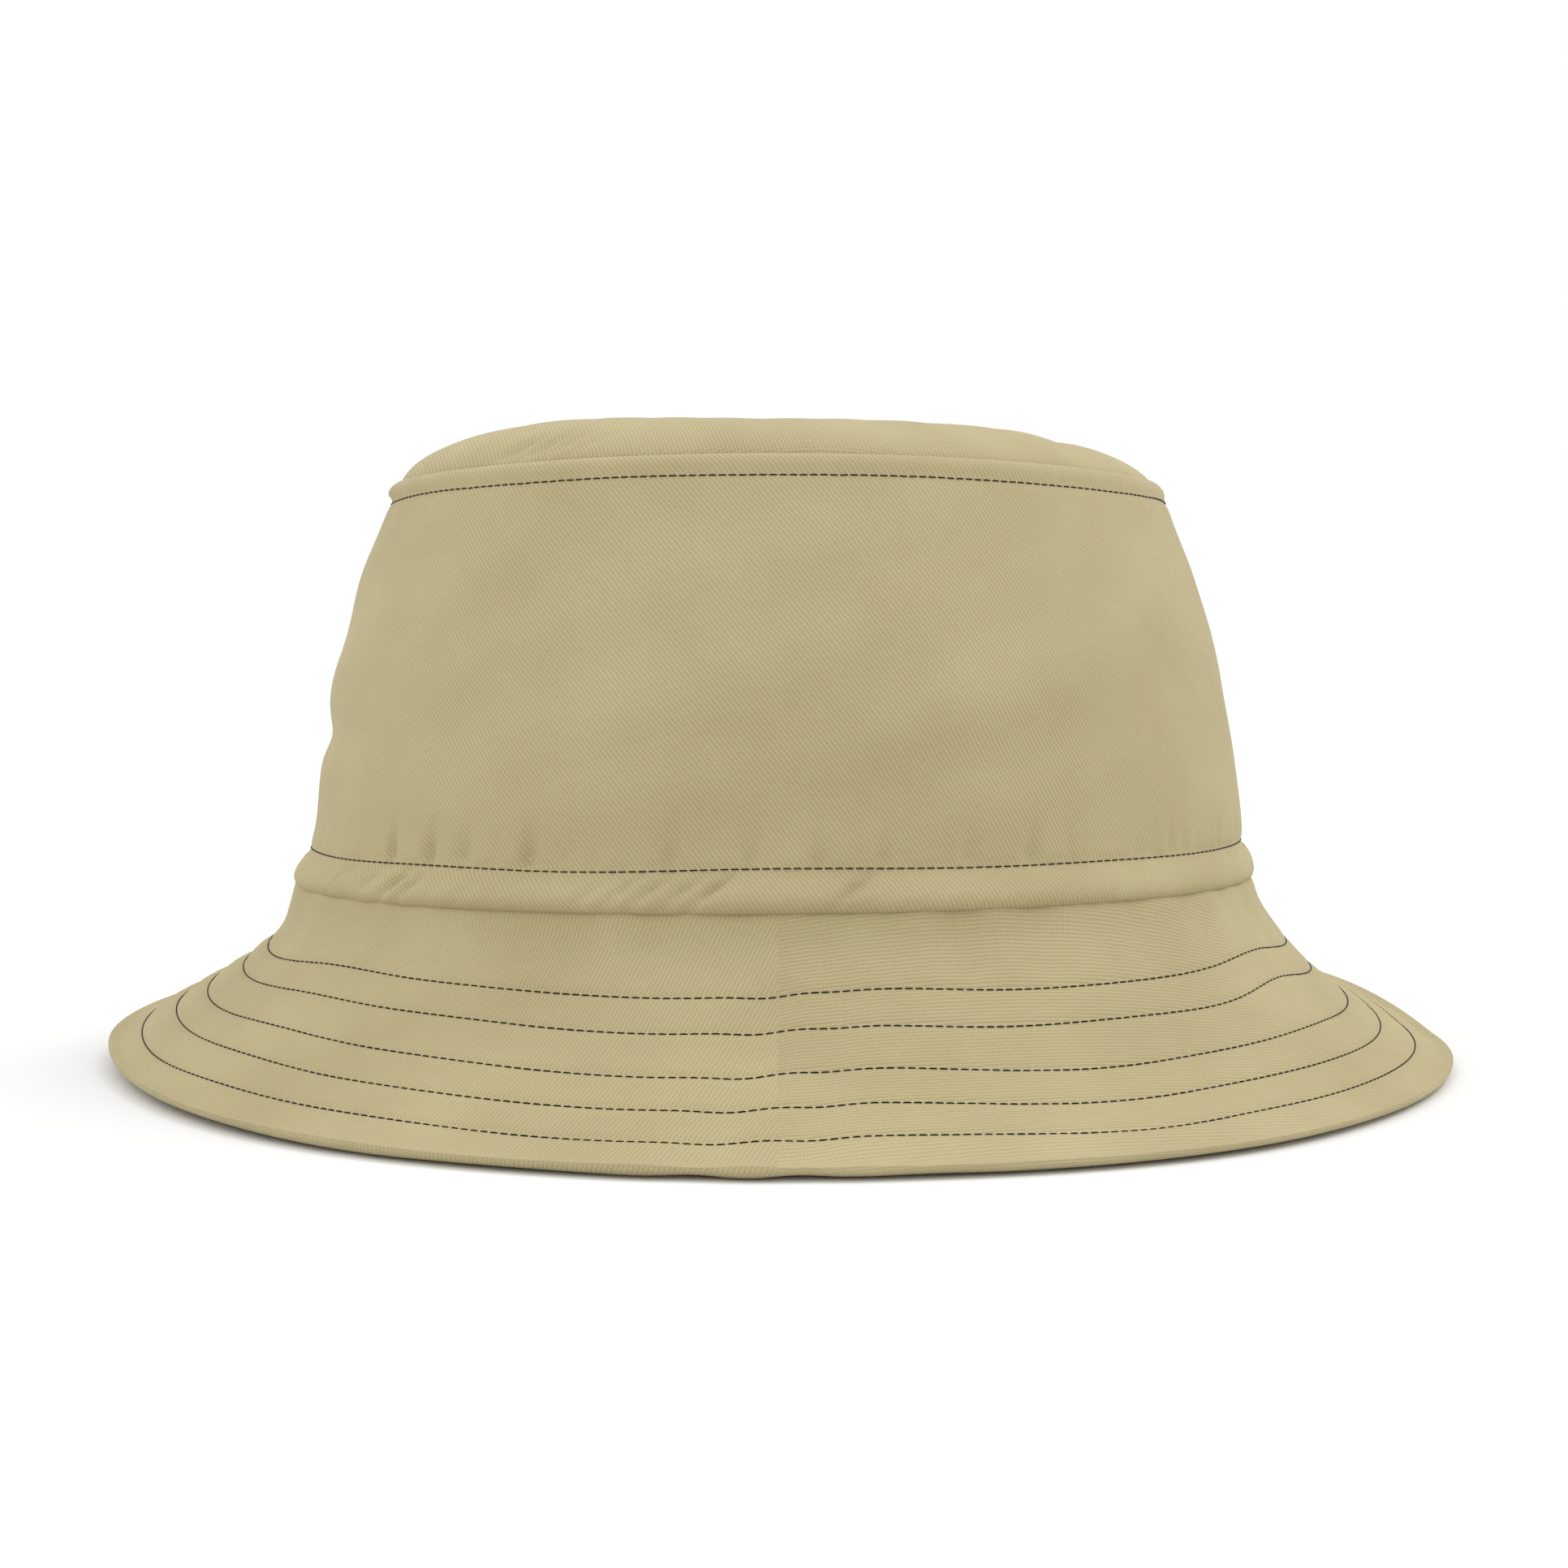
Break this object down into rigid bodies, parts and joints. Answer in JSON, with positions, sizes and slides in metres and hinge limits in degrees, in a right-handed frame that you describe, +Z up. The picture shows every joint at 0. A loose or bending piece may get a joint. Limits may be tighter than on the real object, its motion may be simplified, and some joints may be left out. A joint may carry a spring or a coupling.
{
  "type": "bucket hat",
  "caption": "Soft cotton bucket hat: domed oval tip, tapering crown wall, flared two-ply brim with rows of contrast topstitching, lined, with a sweatband.",
  "frame": {"origin": "centre of the overall box at its base, on the plane the brim rests on", "axes": "+X towards the front of the hat, along its length; +Y towards the wearer's left; +Z up through the tip"},
  "size_m": [0.2906, 0.2594, 0.1365],
  "materials": {
    "khaki_twill": "matt woven cotton",
    "lining_cotton": "fine plain cotton",
    "interlining": "stiff non-woven",
    "sweatband_twill": "matt twill tape",
    "dark_thread": "spun thread"
  },
  "bodies": {
    "root": {"crown_tip": "khaki_twill", "crown_wall": "khaki_twill", "crown_tip_lining": "lining_cotton", "crown_wall_lining": "lining_cotton", "sweatband": "sweatband_twill", "thread_sweatband": "dark_thread", "brim_top_front": "khaki_twill", "brim_under_front": "khaki_twill", "brim_interlining_front": "interlining", "brim_top_back": "khaki_twill", "brim_under_back": "khaki_twill", "brim_interlining_back": "interlining", "thread_crown_top": "dark_thread", "thread_crown_base": "dark_thread", "thread_brim_1": "dark_thread", "thread_brim_2": "dark_thread", "thread_brim_3": "dark_thread", "thread_brim_4": "dark_thread", "thread_brim_5": "dark_thread"}
  },
  "joints": []
}
